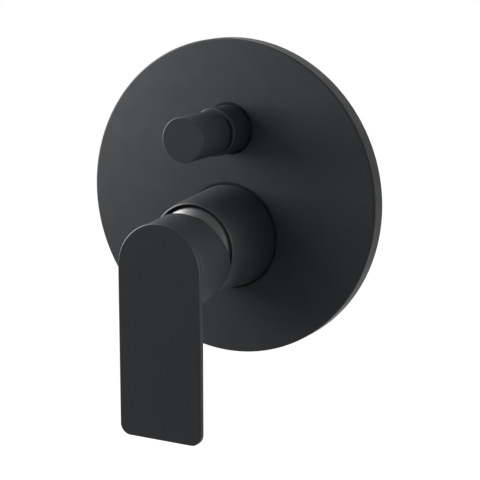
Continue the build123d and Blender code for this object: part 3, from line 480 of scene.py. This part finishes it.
def lever():
    """The lever as one grid of loops, from the middle of the paddle's face out to its outline, back over its
    edge to the barrel, along the barrel to its rear edge, then inside: cavity wall, floor, hub and square
    socket. Each rounded edge is a quarter circle, r (1 - sin t) one way and r (1 - cos t) the other."""
    face_inset, face_edge, edge_land, back_edge, back_inset = 0.81, 0.7, 2.5, 0.45, 0.5
    fillet, fillet_share, least_fillet = 1.6, 0.8, 0.02
    rear_land, rear_edge, mouth_edge, rim_middle, face_wall = 0.6, 0.5, 0.3, 20.4, 3.0
    hub, hub_rear, socket, socket_end = 8.5, 20.0, 4.15, 36.0
    angle = lever_angles(320)
    cos, sin = np.cos(angle), np.sin(angle)
    loops = []

    def flat_loop(x, z, forward):
        loops.append(np.stack([x, np.full_like(x, -forward), z], -1))

    x, z = paddle_outline(face_inset, angle)
    for share in (0.25, 0.6, 0.9, 1.0):
        flat_loop(x * share, PADDLE_Z + (z - PADDLE_Z) * share, PADDLE_FRONT)
    for t in np.linspace(0, np.pi / 2, 8):
        x, z = paddle_outline(face_edge * (1 - np.sin(t)), angle)
        flat_loop(x, z, PADDLE_FRONT - face_edge * (1 - np.cos(t)))
    flat_loop(*paddle_outline(0.0, angle), PADDLE_FRONT - edge_land)
    for t in np.linspace(0, np.pi / 2, 5):
        x, z = paddle_outline(back_edge * (1 - np.cos(t)), angle)
        flat_loop(x, z, PADDLE_BACK + back_edge * (1 - np.sin(t)))
    # The paddle's back, in to the barrel with a small fillet where there is room for one
    x, z = paddle_outline(back_inset, angle)
    barrel = barrel_loop(BARREL, PADDLE_BACK, angle)
    room = np.clip(np.hypot(x - barrel[:, 0], z - barrel[:, 2]) * fillet_share, least_fillet, fillet)
    outward = np.stack([x - barrel[:, 0], z - barrel[:, 2]], -1)
    outward /= np.maximum(np.linalg.norm(outward, axis=1, keepdims=True), 1e-9)
    for share in (0.35, 0.7, 0.95):
        inner_x = x + (barrel[:, 0] + outward[:, 0] * room - x) * share
        inner_z = z + (barrel[:, 2] + outward[:, 1] * room - z) * share
        flat_loop(inner_x, inner_z, PADDLE_BACK)
    for t in np.linspace(0, np.pi / 2, 7):
        lean = room * (1 - np.sin(t))
        here = barrel_loop(BARREL, PADDLE_BACK - room * (1 - np.cos(t)), angle)
        here[:, 0] += outward[:, 0] * lean
        here[:, 2] += outward[:, 1] * lean
        loops.append(here)
    # Along the barrel, round its rear edge and into the cavity
    rear = rear_cut(BARREL, angle)
    for share in np.linspace(0.04, 0.97, 12):
        station = (PADDLE_BACK - fillet) * (1 - share) + (rear + rear_land) * share
        loops.append(barrel_loop(BARREL, station, angle))
    for t in np.linspace(0, np.pi / 2, 6):
        radius = BARREL - rear_edge * (1 - np.cos(t))
        loops.append(barrel_loop(radius, rear_cut(radius, angle) + rear_edge * (1 - np.sin(t)), angle))
    loops.append(barrel_loop(rim_middle, rear_cut(rim_middle, angle), angle))
    for t in np.linspace(0, np.pi / 2, 4):
        radius = BARREL_INSIDE + mouth_edge * (1 - np.sin(t))
        loops.append(barrel_loop(radius, rear_cut(radius, angle) + mouth_edge * (1 - np.cos(t)), angle))
    cavity_end = PADDLE_BACK - face_wall
    for radius, back in ((BARREL_INSIDE, 8), (BARREL_INSIDE, 1), (BARREL_INSIDE - 1, 0)):
        loops.append(barrel_loop(radius, np.full_like(angle, cavity_end) - back, angle))
    # The hub round the stem, and the square socket in it
    depth = cavity_end - PIVOT_FORWARD
    hub_loops = ((hub + 1, depth), (hub, depth - 1), (hub, hub_rear + 0.4), (hub - 0.4, hub_rear))
    socket_loops = ((socket + 0.1, hub_rear), (socket, hub_rear + 0.2), (socket, socket_end))
    loops += [stem_point(radius * cos, radius * sin, distance) for radius, distance in hub_loops]
    loops += [square_loop(half, distance, angle) for half, distance in socket_loops]
    rows, columns = len(loops), len(angle)
    ends = [[[0, -PADDLE_FRONT, PADDLE_Z]], stem_point(0.0, 0.0, socket_end)[None]]
    return np.vstack([*loops, *ends]), grid_faces(rows, columns) + closing_fans(rows, columns)


# Where the grub screw's axis crosses the stem's, from the pin, and how deep the barrel's underside lies there
SCREW_STATION, UNDERSIDE = 30.0, 23.58
SCREW_HOLE, PLUG_HOLE, PLUG_DEPTH, CUT_TOP, CUT_PAST = 2.5, 3.25, 1.6, 17.0, 3.0
BOSS_BORE, BOSS, BOSS_TOP, BOSS_FOOT = 2.52, 4.6, 7.8, 21.4


def about_screw(profile, turns=48):
    """Points and faces of a profile turned about the grub screw's axis, which runs down from the stem: each
    corner is a depth below the stem's axis and a radius. It closes as in turned()."""
    points, faces = turned(profile, 0.0, turns)
    across, depth, along = points[:, 0], -points[:, 1], points[:, 2]
    return stem_point(across, -depth, SCREW_STATION + along), faces


# The lever's shell has its screw hole cut by a stepped cylinder, and the boss that carries the screw is a
# tube inside it
lever_skin = solid("lever_skin", *lever(), matt_black)
step, outside = UNDERSIDE - PLUG_DEPTH, UNDERSIDE + CUT_PAST
stepped = [(CUT_TOP, 0), (CUT_TOP, SCREW_HOLE), (step, SCREW_HOLE), (step, PLUG_HOLE), (outside, PLUG_HOLE)]
cutter = solid("screw_hole", *about_screw([*stepped, (outside, 0)]), matt_black)
drill = lever_skin.modifiers.new("screw_hole", "BOOLEAN")
drill.object = cutter
drilled = bpy.data.meshes.new_from_object(lever_skin.evaluated_get(bpy.context.evaluated_depsgraph_get()))
lever_skin.modifiers.clear()
lever_skin.data = drilled
bpy.data.objects.remove(cutter)
stand_for(lever_skin, "lever", "lever_body")

boss_profile = [(BOSS_TOP, BOSS_BORE), (BOSS_TOP, BOSS), (BOSS_FOOT, BOSS), (BOSS_FOOT, BOSS_BORE)]
stand_for(solid("lever_screw_boss", *about_screw(boss_profile), matt_black), "lever", "lever_body")

# O-rings, gasket, cartridge and diverter


def rings(node, wire, places, height, turns):
    """Round rings about a valve's axis as one piece. Each is a small circle, forward + wire cos b and radius
    + wire sin b, carried round a large one."""
    around = np.linspace(0, 2 * np.pi, 14, endpoint=False)
    points, faces, count = [], [], 0
    for forward, radius in places:
        section = np.stack([forward + wire * np.cos(around), radius + wire * np.sin(around)], -1)
        ring_points, ring_faces = turned(section, height, turns)
        points.append(ring_points)
        faces += [tuple(i + count for i in face) for face in ring_faces]
        count += len(ring_points)
    stand_for(solid(node + "_skin", np.vstack(points), faces, black_rubber, sharp=80), node, "fixed")


rings("sleeve_o_ring", 0.76, [(8.0, 20.95)], MIXER_Z, 128)
rings("collar_o_ring", 0.76, [(10.25, 9.65)], DIVERTER_Z, 96)
rings("spindle_o_rings", 0.68, [(14.5, 3.85), (11.0, 3.85)], DIVERTER_Z, 64)
rings("cage_o_rings", 0.76, [(-17.0, 10.2), (-29.0, 10.2)], DIVERTER_Z, 96)

turned_piece(
    "gasket_skin", "plate_gasket", "fixed", black_foam, 0.0,
    [(0, 71.7), (0, 77.7), (7, 77.7), (7, 71.7)], [0.6, 0.6, 0.4, 0.4], 256,
)
turned_piece(
    "housing_skin", "cartridge_housing", "fixed", grey_plastic, MIXER_Z,
    [(1.5, 15.05), (1.5, 17.4), (26, 17.4), (26, 13.5), (34, 13.5), (34, 12.45), (24.1, 12.45),
     (24.1, 15.05)],
    [0.1, 0.4, 0.6, 0.15, 0.3, 0.1, 0.1, 0.1], 128,
)
FLANGE, WASHER_THICKNESS = 8.6, 2.0
turned_piece(
    "spindle_skin", "diverter_spindle", "knob_body", turned_brass, DIVERTER_Z,
    [(-43, 0), (-43, 2.5), (-37, 2.5), (-37, 3.4), (-14, 3.4), (-14, FLANGE), (-12, FLANGE), (-12, 3),
     (17.8, 3), (17.8, 2.48), (36.8, 2.48), (36.8, 0)],
    [0, 0.5, 0.05, 0.2, 0.1, 0.2, 0.2, 0.1, 0.2, 0.05, 0.3, 0], 96,
)
for name, front, bore in (("front_valve_washer", -14.0, 3.42), ("rear_valve_washer", -37.0, 2.52)):
    back_face = front - WASHER_THICKNESS
    turned_piece(
        name + "_skin", name, "knob_body", black_rubber, DIVERTER_Z,
        [(back_face, bore), (back_face, FLANGE), (front, FLANGE), (front, bore)], [0.05, 0.3, 0.1, 0.05], 96,
    )


def spring():
    """A round wire carried along a coil whose rise is slow at both ends, so that its end turns lie close
    together: forward = rear + length (t - 0.6 sin(2 pi t) / (2 pi)), closed by a cap at each end."""
    steps, sides, wire, radius = 360, 12, 0.45, 4.6
    coils, rear, length, slow = 6, -11.25, 15.5, 0.6
    t = np.linspace(0, 1, steps)
    turn = 2 * np.pi * coils * t
    forward = rear + length * (t - slow * np.sin(2 * np.pi * t) / (2 * np.pi))
    centre = np.stack([radius * np.cos(turn), -forward, DIVERTER_Z + radius * np.sin(turn)], -1)
    along = np.gradient(centre, axis=0)
    along /= np.linalg.norm(along, axis=1, keepdims=True)
    outward = np.stack([np.cos(turn), np.zeros(steps), np.sin(turn)], -1)
    aside = np.cross(along, outward)
    around = np.linspace(0, 2 * np.pi, sides, endpoint=False)[None, :, None]
    grid = centre[:, None] + wire * (np.cos(around) * outward[:, None] + np.sin(around) * aside[:, None])
    caps = [tuple(range(sides)), tuple(range(steps * sides - 1, steps * sides - sides - 1, -1))]
    return grid.reshape(-1, 3), grid_faces(steps, sides) + caps


spring_skin = consistent("spring_skin", *spring(), steel)
stand_for(spring_skin, "diverter_spring", "fixed")
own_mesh(spring_skin)

# The valve body keeps its CAD shape. Its loose triangles are merged, those on one flat are joined, and all
# that turns by less than a crease is shaded as one surface.
MERGE_METRES, SAME_FLAT, CREASE = 2e-6, np.radians(0.4), np.radians(30)
casting = frame["nodes"]["valve_body"].copy()
casting.data = casting.data.copy()
casting.name = "valve_body_casting"
bpy.context.scene.collection.objects.link(casting)
casting.data.materials.clear()
casting.data.materials.append(cast_brass)
body_shell = bmesh.new()
body_shell.from_mesh(casting.data)
bmesh.ops.remove_doubles(body_shell, verts=body_shell.verts, dist=MERGE_METRES)
bmesh.ops.dissolve_limit(body_shell, angle_limit=SAME_FLAT, verts=body_shell.verts, edges=body_shell.edges)
body_shell.to_mesh(casting.data)
body_shell.free()
casting.data.polygons.foreach_set("use_smooth", np.ones(len(casting.data.polygons), dtype=bool))
casting.data.set_sharp_from_angle(angle=CREASE)
stand_for(casting, "valve_body", "fixed")

# CAD nodes that keep their own shape

for name, node in frame["nodes"].items():
    if name in replaced:
        continue
    node.data.materials.clear()
    node.data.materials.append(turned_brass if name in TURNED else FINISHES[SLOTS[name]])

# Floor, light and camera, in metres

FLOOR_Z, FLOOR_HALF = -0.32, 3
FLOOR_GREY, GLOW = (0.5, 0.5, 0.5), 0.8
SKY_COLOUR, SKY_STRENGTH = (0.93, 0.97, 1.0, 1), 0.44
WHITE = (1, 1, 1, 1)

floor_mesh = bpy.data.meshes.new("pale_floor")
floor_corners = [(x * FLOOR_HALF, y * FLOOR_HALF, FLOOR_Z) for x, y in ((-1, -1), (1, -1), (1, 1), (-1, 1))]
floor_mesh.from_pydata(floor_corners, [], [(0, 1, 2, 3)])
floor = bpy.data.objects.new("pale_floor", floor_mesh)
bpy.context.scene.collection.objects.link(floor)
floor_material, floor_tree, floor_shader = finish_of("pale_floor", FLOOR_GREY, 0.9)
floor_mesh.materials.append(floor_material)


def white_for_sight(tree, lit, white, output):
    """Shows plain white to the camera and in mirrors and see-through surfaces, and leaves the light alone."""
    path = tree.nodes.new("ShaderNodeLightPath")
    seen = path.outputs["Is Camera Ray"]
    for ray in ("Is Glossy Ray", "Is Transmission Ray"):
        either = tree.nodes.new("ShaderNodeMath")
        either.operation = "MAXIMUM"
        tree.links.new(seen, either.inputs[0])
        tree.links.new(path.outputs[ray], either.inputs[1])
        seen = either.outputs["Value"]
    pick = tree.nodes.new("ShaderNodeMixShader")
    tree.links.new(seen, pick.inputs["Fac"])
    tree.links.new(lit, pick.inputs[1])
    tree.links.new(white, pick.inputs[2])
    tree.links.new(pick.outputs["Shader"], output)


# To the camera the floor is its lit colour and a glow that together come to white, so it still shows a shadow
glow = floor_tree.nodes.new("ShaderNodeEmission")
glow.inputs["Color"].default_value = WHITE
glow.inputs["Strength"].default_value = GLOW
lifted = floor_tree.nodes.new("ShaderNodeAddShader")
floor_tree.links.new(floor_shader.outputs["BSDF"], lifted.inputs[0])
floor_tree.links.new(glow.outputs["Emission"], lifted.inputs[1])
floor_surface = floor_tree.nodes["Material Output"].inputs["Surface"]
white_for_sight(floor_tree, floor_shader.outputs["BSDF"], lifted.outputs["Shader"], floor_surface)

world = bpy.data.worlds.new("studio")
bpy.context.scene.world = world
world.use_nodes = True
sky = world.node_tree
ambient = sky.nodes["Background"]
ambient.inputs["Color"].default_value = SKY_COLOUR
ambient.inputs["Strength"].default_value = SKY_STRENGTH
white = sky.nodes.new("ShaderNodeBackground")
white.inputs["Color"].default_value = WHITE
sky_surface = sky.nodes["World Output"].inputs["Surface"]
white_for_sight(sky, ambient.outputs["Background"], white.outputs["Background"], sky_surface)


def softbox(name, place, aim, width, height, power):
    """A rectangular lamp at a place, turned to face a point."""
    lamp = bpy.data.lights.new(name, "AREA")
    lamp.shape = "RECTANGLE"
    lamp.size, lamp.size_y = width, height
    lamp.energy = power
    thing = bpy.data.objects.new(name, lamp)
    thing.location = place
    thing.rotation_euler = (Vector(aim) - Vector(place)).to_track_quat("-Z", "Y").to_euler()
    bpy.context.scene.collection.objects.link(thing)
    return lamp


# The key stands beside the plate, nearly in its plane, so that the plate's light falls off from left to right
# and the faces that look out into the room stay dark. A narrow beam from the other side reaches the knob and
# the barrel.
softbox("key_left", place=(-0.3, -0.075, 0.12), aim=(0, -0.01, 0), width=0.1, height=0.25, power=3.8)
beam = softbox(
    "side_right", place=(0.35, -0.09, 0.07), aim=(0, -0.07, 0), width=0.03, height=0.1, power=0.022
)
beam.spread = np.radians(18)

# The camera's focal length is known in pixels of the photograph's width
AZIMUTH, ELEVATION, DISTANCE, AIM = np.radians(28.3), np.radians(12.0), 0.8, (0.00145, 0, -0.0233)
FOCAL_PIXELS, PHOTO_PIXELS, SENSOR_MM = 1562.5, 480, 36
back = Vector((np.sin(AZIMUTH) * np.cos(ELEVATION), -np.cos(AZIMUTH) * np.cos(ELEVATION), np.sin(ELEVATION)))
right = Vector((np.cos(AZIMUTH), np.sin(AZIMUTH), 0))
upward = back.cross(right)
camera_data = bpy.data.cameras.new("photo_view")
camera_data.sensor_width = SENSOR_MM
camera_data.lens = FOCAL_PIXELS * SENSOR_MM / PHOTO_PIXELS
camera = bpy.data.objects.new("photo_view", camera_data)
turn = Matrix((right, upward, back)).transposed().to_4x4()
camera.matrix_world = Matrix.Translation(Vector(AIM) + back * DISTANCE) @ turn
bpy.context.scene.collection.objects.link(camera)
bpy.context.scene.camera = camera
bpy.context.scene.view_settings.view_transform = "Standard"
